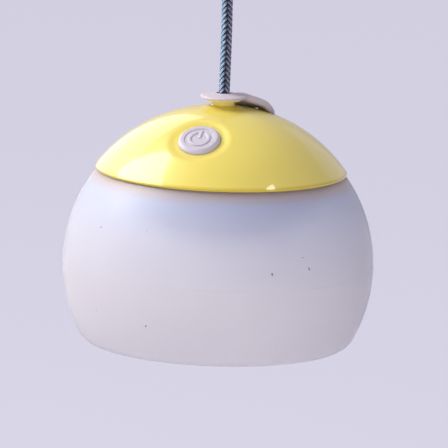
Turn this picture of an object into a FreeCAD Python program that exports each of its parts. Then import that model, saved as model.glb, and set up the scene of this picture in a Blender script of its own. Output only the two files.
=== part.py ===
import FreeCAD, Part
import math
import os
import re
import Sketcher

# A hanging lantern: a squashed frosted globe under a glossy dome, on a braided cord.
#
# Lengths are in millimetres and angles in degrees. Heights are measured from the flat
# foot of the globe, and every sub-part's Placement then lowers it by hang_height, so that
# the origin is the point of the hanging loop that rests on a hook. +Z is up and the power
# button faces -Y. The charging port lies port_azimuth round from +X.

SIZES = {
    # the frosted globe
    "globe_radius": 53.5,
    "globe_height": 28.0,
    "upper_arc": 52.5,
    "lower_arc": 52.6,
    "shade_wall": 1.7,
    "foot_corner": 7.0,
    "lip_level": 60.9,
    "lip_thickness": 1.5,
    "lip_inner": 37.4,
    "lip_outer": 41.0,
    # the dome
    "dome_radius": 53.7,
    "dome_centre": 29.2,
    "dome_wall": 2.2,
    "rim_radius": 43.1,
    "rim_level": 60.3,
    "rim_band": 0.7,
    "skirt_inner": 42.5,
    "skirt_top": 41.15,
    # the neck on top of the dome
    "pad_radius": 7.2,
    "pad_shoulder": 5.4,
    "pad_level": 83.1,
    "pad_hollow": 4.0,
    "post_radius": 4.0,
    "flange_radius": 6.2,
    "flange_level": 84.9,
    "flange_top": 85.6,
    "head_neck": 3.3,
    "head_radius": 3.7,
    "head_level": 86.1,
    "head_top": 86.7,
    "cord_bore": 2.6,
    "seat_level": 80.0,
    # bosses and posts under the dome
    "cap_boss_radius": 3.2,
    "cap_boss_top": 71.0,
    "board_post_radius": 2.2,
    "board_post_top": 76.6,
    "button_boss_radius": 9.4,
    "switch_post_radius": 2.1,
    "large_pilot": 1.2,
    "small_pilot": 0.8,
    # the rubber port cover
    "ring_radius": 8.1,
    "ring_level": 85.65,
    "ring_edge": 0.9,
    "ring_collar": 3.2,
    "ring_top": 87.45,
    "ring_hole": 2.35,
    "ring_play": 0.1,
    "strap_width": 8.2,
    "strap_hinge": 9.0,
    "strap_hinge_level": 85.2,
    "strap_root": 1.15,
    "strap_gap": 0.35,
    "tongue_depth": 1.5,
    # the charging port
    "port_azimuth": 45.0,
    "port_reach": 16.8,
    "port_length": 9.2,
    "port_corner": 1.0,
    "port_height": 3.5,
    "socket_length": 8.94,
    "socket_height": 3.26,
    "socket_wall": 0.3,
    "socket_mouth": 78.2,
    # the power button, along the dome's normal and measured from its surface
    "button_tilt": 30.2,
    "button_radius": 7.25,
    "button_play": 0.08,
    "button_top": 0.1,
    "button_bevel": 0.65,
    "button_face": 5.05,
    "button_flange": 8.6,
    "boss_bottom": 3.4,
    "dish_radius": 11.35,
    "dish_flat": 8.8,
    "dish_depth": 1.45,
    "dish_edge": 14.0,
    "switch_top": 6.2,
    "switch_side": 6.0,
    "switch_height": 3.4,
    "plunger_radius": 1.5,
    "switch_post": 11.2,
    # the bowl that holds the works
    "bowl_radius": 37.6,
    "bowl_wall": 1.6,
    "bowl_bottom": 38.0,
    "bowl_floor_radius": 15.2,
    "bowl_side": 57.5,
    "bowl_arc": 28.3,
    "bowl_flange": 39.5,
    "bowl_flange_level": 59.3,
    "lens_hole": 12.5,
    "lens_radius": 14.0,
    "lens_thickness": 1.6,
    "bolt_circle": 30.0,
    "tube_radius": 3.4,
    "seat_of_screw": 57.0,
    # boards
    "board_thickness": 1.2,
    "led_board_radius": 21.5,
    "led_board_level": 45.0,
    "led_post": 19.5,
    "main_board_radius": 26.2,
    "main_board_level": 69.5,
    "main_board_thickness": 1.6,
    "main_board_edge": 6.0,
    "main_post": 22.0,
    # battery
    "cell_radius": 9.2,
    "cell_length": 65.0,
    "cell_level": 59.8,
    "tray_length": 57.0,
    "tray_width": 22.0,
    "tray_level": 48.2,
    "tray_floor": 1.6,
    "tray_top": 57.0,
    "tray_post": 25.0,
    # cord
    "cord_diameter": 4.2,
    "lead_diameter": 1.2,
    "knot_centre": 129.5,
    "knot_radius": 6.2,
    "knot_half_height": 5.6,
    "loop_radius": 15.0,
    "hang_height": 171.0,
}

doc = FreeCAD.newDocument("Lantern")
sheet = doc.addObject("Spreadsheet::Sheet", "Sizes")
for row, (word, size) in enumerate(SIZES.items(), start=1):
    sheet.set(f"A{row}", word)
    sheet.set(f"B{row}", str(size))
    sheet.setAlias(f"B{row}", word)
doc.recompute()

Z = FreeCAD.Vector(0, 0, 1)
sub_parts = []


# ---------------------------------------------------------------- helpers

def number(expression):
    """The value of an expression written in the sheet's own words."""
    return float(sheet.evalExpression(str(expression)))


def bind(thing, name, expression):
    """Ties one property of an object to the sheet."""
    linked = re.sub(r"[a-z][a-z_]+", lambda word: "Sizes." * (word[0] in SIZES) + word[0], str(expression))
    thing.setExpression(name, linked)


def move(thing, x=0, y=0, z=0, rotation=None):
    """Gives an object its place from expressions, and a fixed rotation."""
    thing.Placement = FreeCAD.Placement(FreeCAD.Vector(), rotation or FreeCAD.Rotation())
    for axis, expression in zip("xyz", (x, y, z)):
        bind(thing, "Placement.Base." + axis, expression)
    return thing


def finish(thing, node, x=0, y=0, z=0, rotation=None):
    """Names a finished sub-part and hangs it from the loop's bearing point."""
    thing.Label = node
    move(thing, x, y, f"{z} - hang_height", rotation)
    sub_parts.append(thing)
    return thing


def finish_shape(shape, node):
    """A sub-part whose shape is built directly, at heights above the foot."""
    thing = doc.addObject("Part::Feature", node + "_solid")
    thing.Shape = shape
    return finish(thing, node)


def about_z(degrees):
    return FreeCAD.Rotation(Z, degrees)


def outline(body, corners, arcs):
    """A closed sketch through the corners, on the body's XZ plane.

    arcs gives, for the index of a corner that an arc starts from, its radius and whether
    its centre lies to the left or the right of the way to the next corner.
    """
    sketch = body.newObject("Sketcher::SketchObject", body.Name + "_outline")
    plane = [item for item in body.Origin.OriginFeatures if item.Role == "XZ_Plane"][0]
    sketch.AttachmentSupport = (plane, [""])
    sketch.MapMode = "FlatFace"
    spots = [FreeCAD.Vector(number(x), number(z), 0) for x, z in corners]
    starts = []
    for index, start in enumerate(spots):
        end = spots[(index + 1) % len(spots)]
        if index not in arcs:
            sketch.addGeometry(Part.LineSegment(start, end))
            starts.append((1, 2))
            continue
        radius, left = number(arcs[index][0]), arcs[index][1] == "left"
        chord = end - start
        across = FreeCAD.Vector(-chord.y, chord.x, 0).normalize() * (1 if left else -1)
        centre = (start + end) / 2 + across * math.sqrt(radius ** 2 - chord.Length ** 2 / 4)
        first, second = [math.atan2(spot.y - centre.y, spot.x - centre.x)
                         for spot in ((start, end) if left else (end, start))]
        circle = Part.Circle(centre, Z, radius)
        sketch.addGeometry(Part.ArcOfCircle(circle, first, second + 2 * math.pi * (second < first)))
        starts.append((1, 2) if left else (2, 1))
    for index, (x, z) in enumerate(corners):
        last = index - 1 if index else len(corners) - 1
        here = starts[index][0]
        sketch.addConstraint(Sketcher.Constraint("Coincident", last, starts[last][1], index, here))
        for kind, axis, expression in (("DistanceX", -2, x), ("DistanceY", -1, z)):
            if str(expression) == "0":
                sketch.addConstraint(Sketcher.Constraint("PointOnObject", index, here, axis))
                continue
            size = number(expression)
            place = sketch.addConstraint(Sketcher.Constraint(kind, -1, 1, index, here, size))
            bind(sketch, f"Constraints[{place}]", expression)
    for index, (radius, _) in arcs.items():
        place = sketch.addConstraint(Sketcher.Constraint("Radius", index, number(radius)))
        bind(sketch, f"Constraints[{place}]", radius)
    return sketch


def revolved(name, corners, arcs=None):
    """A body turned about the vertical axis from half of its section."""
    body = doc.addObject("PartDesign::Body", name)
    sketch = outline(body, corners, arcs or {})
    turn = body.newObject("PartDesign::Revolution", name + "_turn")
    turn.Profile = sketch
    turn.ReferenceAxis = (sketch, ["V_Axis"])
    turn.Angle = 360
    doc.recompute()
    return body


def padded(name, corners, width, arcs=None):
    """A body of one section in the XZ plane and an even width about it."""
    body = doc.addObject("PartDesign::Body", name)
    sketch = outline(body, corners, arcs or {})
    pad = body.newObject("PartDesign::Pad", name + "_pad")
    pad.Profile = sketch
    pad.Midplane = True
    bind(pad, "Length", width)
    doc.recompute()
    return body


def cylinder(name, radius, low, high, x=0, y=0):
    thing = doc.addObject("Part::Cylinder", name)
    bind(thing, "Radius", radius)
    bind(thing, "Height", f"({high}) - ({low})")
    return move(thing, x, y, low)


def box(name, length, width, low, high, x=0, y=0):
    """A box centred on x and y."""
    thing = doc.addObject("Part::Box", name)
    bind(thing, "Length", length)
    bind(thing, "Width", width)
    bind(thing, "Height", f"({high}) - ({low})")
    return move(thing, f"({x}) - ({length}) / 2", f"({y}) - ({width}) / 2", low)


def ring_of(name, radius, circle, low, high, azimuths):
    """Equal upright cylinders on a circle about the axis."""
    return [cylinder(f"{name}_{count}", radius, low, high,
                     f"({circle}) * cos({azimuth})", f"({circle}) * sin({azimuth})")
            for count, azimuth in enumerate(azimuths)]


def fused(name, things):
    joined = doc.addObject("Part::MultiFuse", name)
    joined.Shapes = things
    return joined


def cut(name, base, tools):
    """The base less every tool."""
    result = doc.addObject("Part::Cut", name)
    result.Base = base
    result.Tool = tools[0] if len(tools) == 1 else fused(name + "_tools", tools)
    return result


def rounded_box(name, length, width, low, high, radius):
    """A box centred on the axis, with its four upright edges rounded."""
    block = box(name + "_block", length, width, low, high)
    doc.recompute()
    upright = [index for index, edge in enumerate(block.Shape.Edges, start=1)
               if abs(edge.tangentAt(edge.FirstParameter).z) > 0.9]
    result = doc.addObject("Part::Fillet", name)
    result.Base = block
    result.Edges = [(index, radius, radius) for index in upright]
    return result


BUTTON_Y = "-dome_radius * sin(button_tilt)"
BUTTON_Z = "dome_centre + dome_radius * cos(button_tilt)"
BUTTON_TURN = FreeCAD.Rotation(FreeCAD.Vector(1, 0, 0), number("button_tilt"))


def on_button_axis(thing):
    """Sets a piece that is built round the button's own axis into the dome."""
    return move(thing, 0, BUTTON_Y, BUTTON_Z, BUTTON_TURN)


def finish_on_button_axis(thing, node):
    return finish(thing, node, 0, BUTTON_Y, BUTTON_Z, BUTTON_TURN)


def circle_at(radius, level):
    """Where a sphere of the given radius about the dome's centre meets a level."""
    return f"sqrt(({radius})^2 - (({level}) - dome_centre)^2)"


def height_at(radius, reach):
    """The height of a sphere about the dome's centre at a distance from the axis."""
    return f"dome_centre + sqrt(({radius})^2 - ({reach})^2)"


def screw(head_radius, head_height, shank_radius, length, spot, direction):
    """One pan-head screw, with its head's seat at the spot and its point towards direction."""
    head = Part.makeCylinder(head_radius, head_height, spot - direction * head_height, direction)
    shank = Part.makeCylinder(shank_radius, length, spot, direction)
    slot = Part.makeBox(2 * head_radius, head_radius / 3, head_height)
    slot.translate(FreeCAD.Vector(-head_radius, -head_radius / 6, -1.5 * head_height))
    slot.Placement = FreeCAD.Placement(spot, FreeCAD.Rotation(Z, direction)) * slot.Placement
    return head.fuse(shank).removeSplitter().cut(slot)


def spot_on_circle(circle, azimuth, level):
    angle = math.radians(azimuth)
    return FreeCAD.Vector(circle * math.cos(angle), circle * math.sin(angle), level)


def tube(points, diameter, label):
    """A round tube along straight runs joined by tangent arcs; prints its bend radii."""
    points = [FreeCAD.Vector(*point) for point in points]
    edges = []
    begin = points[0]
    radii = []
    for before, corner, after in zip(points, points[1:], points[2:]):
        back, ahead = before - corner, after - corner
        reach = 0.45 * min(back.Length, ahead.Length)
        turn = math.pi - back.getAngle(ahead)
        radius = reach / math.tan(turn / 2)
        radii.append(round(radius, 1))
        back.normalize()
        ahead.normalize()
        start, end = corner + back * reach, corner + ahead * reach
        bisector = (back + ahead).normalize()
        centre = corner + bisector * math.hypot(radius, reach)
        edges.append(Part.LineSegment(begin, start).toShape())
        edges.append(Part.Arc(start, centre - bisector * radius, end).toShape())
        begin = end
    edges.append(Part.LineSegment(begin, points[-1]).toShape())
    path = Part.Wire(edges)
    first = points[1] - points[0]
    profile = Part.Wire([Part.makeCircle(diameter / 2, points[0], first)])
    solid = path.makePipeShell([profile], True, False)
    ideal = math.pi * diameter ** 2 / 4 * path.Length
    print(label, "length", round(path.Length, 1), "radii", radii,
          "volume ratio", round(solid.Volume / ideal, 4))
    return solid


# ---------------------------------------------------------------- frosted shade

LOWER_CENTRE = "globe_radius - lower_arc"
UPPER_CENTRE = "globe_radius - upper_arc"


def globe_circle(centre, arc, drop):
    return f"{centre} + sqrt(({arc})^2 - ({drop})^2)"


shade = revolved("Shade", [
    (0, 0),
    (globe_circle(LOWER_CENTRE, "lower_arc", "globe_height"), 0),
    ("globe_radius", "globe_height"),
    (globe_circle(UPPER_CENTRE, "upper_arc", "lip_level - globe_height"), "lip_level"),
    ("lip_outer", "lip_level + lip_thickness"),
    ("lip_inner", "lip_level + lip_thickness"),
    ("lip_inner", "lip_level"),
    (globe_circle(UPPER_CENTRE, "upper_arc - shade_wall", "lip_level - globe_height"), "lip_level"),
    ("globe_radius - shade_wall", "globe_height"),
    (globe_circle(LOWER_CENTRE, "lower_arc - shade_wall", "globe_height - shade_wall"), "shade_wall"),
    (0, "shade_wall"),
], {
    1: ("lower_arc", "left"),
    2: ("upper_arc", "left"),
    7: ("upper_arc - shade_wall", "right"),
    8: ("lower_arc - shade_wall", "right"),
})


def foot_edges(shape, level):
    """The names of the circular edges at one level."""
    return [f"Edge{index}" for index, edge in enumerate(shape.Edges, start=1)
            if edge.BoundBox.ZLength < 1e-4 and abs(edge.BoundBox.ZMin - level) < 1e-4]


for name, level, radius in (("outer", "0", "foot_corner"),
                            ("inner", "shade_wall", "foot_corner - shade_wall")):
    tip = shade.Tip
    rounding = shade.newObject("PartDesign::Fillet", "Shade_corner_" + name)
    rounding.Base = (tip, foot_edges(tip.Shape, number(level)))
    bind(rounding, "Radius", radius)
    doc.recompute()
finish(shade, "shade")

# ---------------------------------------------------------------- top cap

DOME_INSIDE = "dome_radius - dome_wall"
LIP_TOP = "lip_level + lip_thickness"
cap_shell = revolved("Cap_shell", [
    ("cord_bore", "seat_level"),
    (circle_at(DOME_INSIDE, "seat_level"), "seat_level"),
    (circle_at(DOME_INSIDE, LIP_TOP), LIP_TOP),
    ("skirt_top", LIP_TOP),
    ("skirt_inner", "rim_level + rim_band"),
    ("skirt_inner", "rim_level"),
    ("rim_radius", "rim_level"),
    (circle_at("dome_radius", "rim_level + rim_band"), "rim_level + rim_band"),
    ("pad_radius", height_at("dome_radius", "pad_radius")),
    ("pad_shoulder", "pad_level"),
    ("post_radius", "pad_level"),
    ("post_radius", "flange_level"),
    ("flange_radius", "flange_level"),
    ("flange_radius", "flange_top"),
    ("head_neck", "flange_top"),
    ("head_neck", "head_level"),
    ("head_radius", "head_level"),
    ("head_radius", "head_top"),
    ("cord_bore", "head_top"),
], {
    1: (DOME_INSIDE, "right"),
    7: ("dome_radius", "left"),
    8: ("pad_hollow", "right"),
})
BOLT_AZIMUTHS = (45, 135, 225, 315)
POST_AZIMUTHS = (25, 90, 155)
MAIN_BOARD_TOP = "main_board_level + main_board_thickness"
cap_bosses = ring_of("Cap_boss", "cap_boss_radius", "bolt_circle", "lip_level", "cap_boss_top",
                     BOLT_AZIMUTHS)
board_posts = ring_of("Board_post", "board_post_radius", "main_post", MAIN_BOARD_TOP, "board_post_top",
                      POST_AZIMUTHS)

SWITCH_BOARD_TOP = "-switch_top - switch_height"
button_boss = cylinder("Button_boss", "button_boss_radius", "-boss_bottom", "-1.8")
switch_posts = [cylinder(f"Switch_post_{side}", "switch_post_radius", SWITCH_BOARD_TOP, "-2.3",
                         f"{side} * switch_post") for side in (-1, 1)]
button_mount = on_button_axis(fused("Button_mount", [button_boss] + switch_posts))

button_dish = revolved("Button_dish", [
    (0, "-dish_depth"),
    ("dish_flat", "-dish_depth"),
    ("dish_radius", "sqrt(dome_radius^2 - dish_radius^2) - dome_radius"),
    ("dish_radius", "3"),
    (0, "3"),
], {1: ("dish_edge", "left")})
button_hole = cylinder("Button_hole", "button_radius + button_play", "-6", "3")
switch_pilots = [cylinder(f"Switch_pilot_{side}", "small_pilot", f"{SWITCH_BOARD_TOP} - 1",
                          f"{SWITCH_BOARD_TOP} + 5", f"{side} * switch_post") for side in (-1, 1)]
button_opening = on_button_axis(fused("Button_opening", [button_dish, button_hole] + switch_pilots))

port_slot = move(
    rounded_box("Port_slot", "port_height", "port_length", "76", "84", number("port_corner")),
    "port_reach * cos(port_azimuth)", "port_reach * sin(port_azimuth)", 0, about_z(number("port_azimuth")))
cap_pilots = ring_of("Cap_pilot", "large_pilot", "bolt_circle", "lip_level - 1", "lip_level + 7",
                     BOLT_AZIMUTHS)
board_pilots = ring_of("Board_pilot", "small_pilot", "main_post", f"{MAIN_BOARD_TOP} - 1",
                       f"{MAIN_BOARD_TOP} + 3", POST_AZIMUTHS)

cap_solid = fused("Cap_solid", [cap_shell, button_mount] + cap_bosses + board_posts)
top_cap = cut("Top_cap", cap_solid, [button_opening, port_slot] + cap_pilots + board_pilots)
finish(top_cap, "top_cap")

# ---------------------------------------------------------------- inner housing

bowl_shell = revolved("Bowl_shell", [
    ("lens_hole", "bowl_bottom"),
    ("bowl_floor_radius", "bowl_bottom"),
    ("bowl_radius", "bowl_side"),
    ("bowl_radius", "bowl_flange_level"),
    ("bowl_flange", "bowl_flange_level"),
    ("bowl_flange", "lip_level"),
    ("bowl_radius - bowl_wall", "lip_level"),
    ("bowl_radius - bowl_wall", "bowl_side"),
    ("bowl_floor_radius + 0.4", "bowl_bottom + bowl_wall"),
    ("lens_hole", "bowl_bottom + bowl_wall"),
], {1: ("bowl_arc", "left"), 7: ("bowl_arc - bowl_wall", "right")})
bowl_envelope = revolved("Bowl_envelope", [
    (0, "bowl_bottom"),
    ("bowl_floor_radius", "bowl_bottom"),
    ("bowl_radius", "bowl_side"),
    ("bowl_radius", "lip_level"),
    (0, "lip_level"),
], {1: ("bowl_arc", "left")})
LED_AZIMUTHS = (90, 210, 330)
TRAY_AZIMUTHS = (0, 180)
bowl_tubes = ring_of("Bowl_tube", "tube_radius", "bolt_circle", "40", "lip_level", BOLT_AZIMUTHS)
led_posts = ring_of("Led_post", 2.0, "led_post", "bowl_bottom", "led_board_level", LED_AZIMUTHS)
tray_posts = ring_of("Tray_post", 2.4, "tray_post", "bowl_bottom", "tray_level", TRAY_AZIMUTHS)
bowl_posts = doc.addObject("Part::Common", "Bowl_posts")
bowl_posts.Base = fused("Bowl_pillars", bowl_tubes + led_posts + tray_posts)
bowl_posts.Tool = bowl_envelope
screw_wells = ring_of("Screw_well", 2.7, "bolt_circle", "38", "seat_of_screw", BOLT_AZIMUTHS)
screw_holes = ring_of("Screw_hole", 1.6, "bolt_circle", "38", "lip_level + 1", BOLT_AZIMUTHS)
led_pilots = ring_of("Led_pilot", "small_pilot", "led_post", "led_board_level - 3.5", "led_board_level + 1",
                     LED_AZIMUTHS)
tray_pilots = ring_of("Tray_pilot", "small_pilot", "tray_post", "tray_level - 3.5", "tray_level + 1",
                      TRAY_AZIMUTHS)
inner_housing = cut("Inner_housing", fused("Bowl_solid", [bowl_shell, bowl_posts]),
                    screw_wells + screw_holes + led_pilots + tray_pilots)
finish(inner_housing, "inner_housing")

# ---------------------------------------------------------------- light source

LENS_BOTTOM = "bowl_bottom + bowl_wall"
LENS_TOP = f"{LENS_BOTTOM} + lens_thickness"
finish(cylinder("Lens", "lens_radius", "0", "lens_thickness"), "led_lens", z=LENS_BOTTOM)

led_reflector = revolved("Reflector", [
    ("lens_hole", LENS_TOP),
    ("lens_radius", LENS_TOP),
    ("led_post - 2.6", "led_board_level"),
    ("led_post - 3.6", "led_board_level"),
])
finish(led_reflector, "led_reflector")

led_board = cut("Led_board", cylinder("Led_disc", "led_board_radius", "led_board_level",
                                      "led_board_level + board_thickness"),
                ring_of("Led_board_hole", 1.2, "led_post", "led_board_level - 1",
                        "led_board_level + 3", LED_AZIMUTHS))
finish(led_board, "led_board")

led_level = number("led_board_level")
chip_height = 0.7
chips = [Part.makeBox(3.5, 2.8, chip_height, FreeCAD.Vector(-1.75, -1.4, led_level - chip_height))]
for azimuth in range(0, 360, 60):
    chip = Part.makeBox(3.5, 2.8, chip_height, FreeCAD.Vector(6.0, -1.4, led_level - chip_height))
    chip.rotate(FreeCAD.Vector(), Z, azimuth)
    chips.append(chip)
finish_shape(Part.makeCompound(chips), "led_emitters")

# ---------------------------------------------------------------- battery

cell = cylinder("Cell", "cell_radius", "0", "cell_length")
LYING = FreeCAD.Rotation(FreeCAD.Vector(0, 1, 0), 90)
finish(cell, "battery_cell", "-cell_length / 2", 0, "cell_level", LYING)

tray_block = box("Tray_block", "tray_length", "tray_width", "tray_level", "tray_top")
trough = cylinder("Trough", "cell_radius + 0.2", "0", "tray_length + 2")
move(trough, "-tray_length / 2 - 1", 0, "cell_level", LYING)
tray_holes = ring_of("Tray_hole", 1.2, "tray_post", "tray_level - 1", "tray_level + 3",
                     TRAY_AZIMUTHS)
tray_seats = ring_of("Tray_seat", 2.2, "tray_post", "tray_level + tray_floor - 0.9", "tray_top",
                     TRAY_AZIMUTHS)
finish(cut("Tray", tray_block, [trough] + tray_holes + tray_seats), "battery_tray")

for node, side in (("battery_tab_positive", 1), ("battery_tab_negative", -1)):
    tab = box(f"Tab_{node}", "0.3", "6", "0", "10")
    finish(tab, node, f"{side} * (cell_length / 2 + 0.15) - 0.15", "-3", "cell_level - 3.5")

# ---------------------------------------------------------------- main board and socket

main_board_disc = doc.addObject("Part::Common", "Main_board_disc")
main_board_disc.Base = cylinder("Main_disc", "main_board_radius", "main_board_level", MAIN_BOARD_TOP)
main_board_disc.Tool = box("Main_part", "60", "40", "main_board_level", MAIN_BOARD_TOP, 0,
                           "20 - main_board_edge")
main_board = cut("Main_board", main_board_disc,
                 ring_of("Main_board_hole", 1.2, "main_post", "main_board_level - 1",
                         f"{MAIN_BOARD_TOP} + 1", POST_AZIMUTHS))
finish(main_board, "main_board")

board_top = number(MAIN_BOARD_TOP)
components = [Part.makeBox(length, width, height, FreeCAD.Vector(x, y, board_top))
              for x, y, length, width, height in (
                  (-17, 8, 5, 4, 1.2), (-9.5, 9, 4, 4, 2.0), (-14, 14.5, 3, 1.6, 0.9),
                  (-9.5, 15.5, 3, 1.6, 0.9), (-20, 0, 6, 5, 1.4), (9, -3, 5, 4, 1.0))]
finish_shape(Part.makeCompound(components), "board_components")

port_turn = about_z(number("port_azimuth"))
PORT_X, PORT_Y = "port_reach * cos(port_azimuth)", "port_reach * sin(port_azimuth)"
shell_outside = rounded_box("Socket_outside", "socket_height", "socket_length", MAIN_BOARD_TOP,
                            "socket_mouth", 1.5)
shell_inside = rounded_box("Socket_inside", "socket_height - 2 * socket_wall",
                           "socket_length - 2 * socket_wall", f"{MAIN_BOARD_TOP} + 1",
                           "socket_mouth + 1", 1.2)
finish(cut("Socket_shell", shell_outside, [shell_inside]), "usb_socket_shell", PORT_X, PORT_Y, "0",
       port_turn)
socket_insert = fused("Socket_insert", [
    box("Socket_tongue", "0.7", "6.6", f"{MAIN_BOARD_TOP} + 1", "socket_mouth - 1"),
    box("Socket_foot", "2.0", "7.0", f"{MAIN_BOARD_TOP} + 1", f"{MAIN_BOARD_TOP} + 2.2")])
finish(socket_insert, "usb_socket_tongue", PORT_X, PORT_Y, "0", port_turn)

# ---------------------------------------------------------------- power button and switch

FACE = "button_top - 0.3"
SWITCH_FACE = "-switch_top"
button_body = revolved("Button_body", [
    (0, "-switch_top + 0.6"),
    ("plunger_radius + 0.1", "-switch_top + 0.6"),
    ("plunger_radius + 0.1", "-boss_bottom - 1"),
    ("button_flange", "-boss_bottom - 1"),
    ("button_flange", "-boss_bottom - 0.05"),
    ("button_radius", "-boss_bottom - 0.05"),
    ("button_radius", "button_top - button_bevel"),
    ("button_radius - button_bevel", "button_top"),
    ("button_face + 0.15", "button_top"),
    ("button_face", FACE),
    (0, FACE),
])
symbol_ring = cut("Symbol_ring", cylinder("Symbol_outside", 3.95, f"{FACE} - 0.1", "button_top"),
                  [cylinder("Symbol_inside", 2.7, f"{FACE} - 1", "button_top + 1"),
                   box("Symbol_gap", "2.7", "5", f"{FACE} - 1", "button_top + 1", 0, "2.6")])
symbol_bar = box("Symbol_bar", "1.1", "3.4", f"{FACE} - 0.1", "button_top", 0, "2.5")
finish_on_button_axis(fused("Button", [button_body, symbol_ring, symbol_bar]), "power_button")
plunger = revolved("Plunger", [
    (0, "-switch_top - 1"),
    ("plunger_radius", "-switch_top - 1"),
    ("plunger_radius", "-switch_top + 0.6"),
    (0, "-switch_top + 0.6"),
])
finish_on_button_axis(plunger, "switch_plunger")
switch_block = box("Switch_block", "switch_side", "switch_side", SWITCH_BOARD_TOP, SWITCH_FACE)
switch_well = cylinder("Switch_well", "plunger_radius + 0.08", f"{SWITCH_FACE} - 1.8",
                       f"{SWITCH_FACE} + 1")
finish_on_button_axis(cut("Switch_body", switch_block, [switch_well]), "tact_switch_body")
switch_plate = box("Switch_plate", "26.8", "12", f"{SWITCH_BOARD_TOP} - board_thickness",
                   SWITCH_BOARD_TOP)
switch_plate_holes = [cylinder(f"Switch_plate_hole_{side}", 1.1, f"{SWITCH_BOARD_TOP} - 3",
                               f"{SWITCH_BOARD_TOP} + 1", f"{side} * switch_post") for side in (-1, 1)]
finish_on_button_axis(cut("Switch_board", switch_plate, switch_plate_holes), "switch_board")

# ---------------------------------------------------------------- fasteners

bolt_circle = number("bolt_circle")
finish_shape(Part.makeCompound([
    screw(2.6, 1.8, 1.15, 10, spot_on_circle(bolt_circle, azimuth, number("seat_of_screw")), Z)
    for azimuth in BOLT_AZIMUTHS]), "housing_screws")
finish_shape(Part.makeCompound([
    screw(1.9, 0.6, 0.75, 3.8, spot_on_circle(number("main_post"), azimuth,
                                              number("main_board_level")), Z)
    for azimuth in POST_AZIMUTHS]), "main_board_screws")
finish_shape(Part.makeCompound([
    screw(1.9, 1.2, 0.75, 3.8, spot_on_circle(number("led_post"), azimuth,
                                              number("led_board_level + board_thickness")), -Z)
    for azimuth in LED_AZIMUTHS]), "led_board_screws")
finish_shape(Part.makeCompound([
    screw(2.0, 0.8, 0.75, 3.4, spot_on_circle(number("tray_post"), azimuth,
                                              number("tray_level + tray_floor - 0.9")), -Z)
    for azimuth in TRAY_AZIMUTHS]), "tray_screws")
switch_screws = doc.addObject("Part::Feature", "Switch_screws")
switch_screws.Shape = Part.makeCompound([
    screw(1.9, 1.2, 0.75, 4.6, FreeCAD.Vector(side * number("switch_post"), 0,
                                              number(f"{SWITCH_BOARD_TOP} - board_thickness")), Z)
    for side in (-1, 1)])
finish_on_button_axis(switch_screws, "switch_board_screws")

# ---------------------------------------------------------------- leads

lead = number("lead_diameter")
cell_level = number("cell_level")
led_top = number("led_board_level + board_thickness")
board_bottom = number("main_board_level")
for node, side in (("battery_lead_red", 1), ("battery_lead_black", -1)):
    finish_shape(tube([
        (side * 33.42, 0, cell_level + 1),
        (side * 33.42, 9, cell_level + 5.2),
        (side * 28.5, 11.5, cell_level + 8.2),
        (side * 23, 12.5, board_bottom),
    ], lead, node), node)
for node, x in (("led_lead_red", 6), ("led_lead_black", 2.5)):
    finish_shape(tube([
        (x, 14.5, led_top),
        (x + 0.8, 15.6, led_top + 8),
        (x - 0.6, 15.8, led_top + 16),
        (x, 14.8, board_bottom),
    ], lead, node), node)
finish_shape(Part.makeCompound([tube([
    (x, -17.6, 66.6),
    (x, -14.5, 64.5),
    (x, -10.9, 66.5),
    (x, -5.2, board_bottom),
], 1.0, "switch_leads") for x in (-8.6, 8.6)]), "switch_leads")

# ---------------------------------------------------------------- rubber port cover

ring_body = revolved("Ring_body", [
    ("head_neck + ring_play", "ring_level"),
    ("ring_radius - 0.3", "ring_level"),
    ("ring_radius", "ring_level + 0.3"),
    ("ring_radius", "ring_level + 0.55"),
    ("ring_radius - 0.4", "ring_level + ring_edge"),
    ("ring_collar + 1.8", "ring_level + ring_edge + 0.4"),
    ("ring_collar", "ring_top"),
    ("ring_hole", "ring_top - 0.15"),
    ("ring_hole", "head_top + ring_play"),
    ("head_radius + ring_play", "head_top + ring_play"),
    ("head_radius + ring_play", "head_level - 0.05"),
    ("head_neck + ring_play", "head_level - 0.05"),
])
strap_relief = box("Strap_relief", "4", "strap_width + 1", "ring_level - 1", "ring_top + 1",
                   "strap_hinge - strap_root - strap_gap + 2")
cover_ring = cut("Cover_ring", ring_body, [strap_relief])
finish(cover_ring, "port_cover_ring", rotation=port_turn)

HINGE_TOP = "strap_hinge_level + strap_root"
HINGE_BOTTOM = "strap_hinge_level - strap_root"
PORT_LEVEL = height_at("dome_radius", "port_reach")
strap = padded("Strap", [
    ("strap_hinge", HINGE_BOTTOM),
    ("port_reach - 5.6", "83.5"),
    ("port_reach - 3.6", "82.6"),
    ("port_reach - 2.1", "81.6"),
    ("port_reach - 1.3", f"{PORT_LEVEL} + 0.3"),
    ("port_reach - 1.3", f"{PORT_LEVEL} - tongue_depth"),
    ("port_reach - 0.1", f"{PORT_LEVEL} - tongue_depth"),
    ("port_reach + 1.6", f"{PORT_LEVEL} - 0.25"),
    ("port_reach + 0.9", "81.2"),
    ("port_reach - 0.1", "82.8"),
    ("port_reach - 1.4", "84.0"),
    ("port_reach - 3.2", "84.95"),
    ("port_reach - 5.3", "85.75"),
    ("strap_hinge", HINGE_TOP),
    ("strap_hinge - strap_root", "strap_hinge_level"),
], "strap_width", {13: ("strap_root", "left"), 14: ("strap_root", "left")})
finish(strap, "port_cover_strap", rotation=port_turn)

# ---------------------------------------------------------------- cord

cord = number("cord_diameter")
washer = cut("Washer", cylinder("Washer_disc", 6.0, "seat_level - 1.1", "seat_level"),
             [cylinder("Washer_hole", 2.4, "seat_level - 3", "seat_level + 1")])
finish(washer, "cord_washer")


def knot(name, node, centre, half_height, radius):
    ball = doc.addObject("Part::Ellipsoid", name)
    bind(ball, "Radius1", half_height)
    bind(ball, "Radius2", radius)
    bind(ball, "Radius3", radius)
    return finish(ball, node, z=centre)


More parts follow.
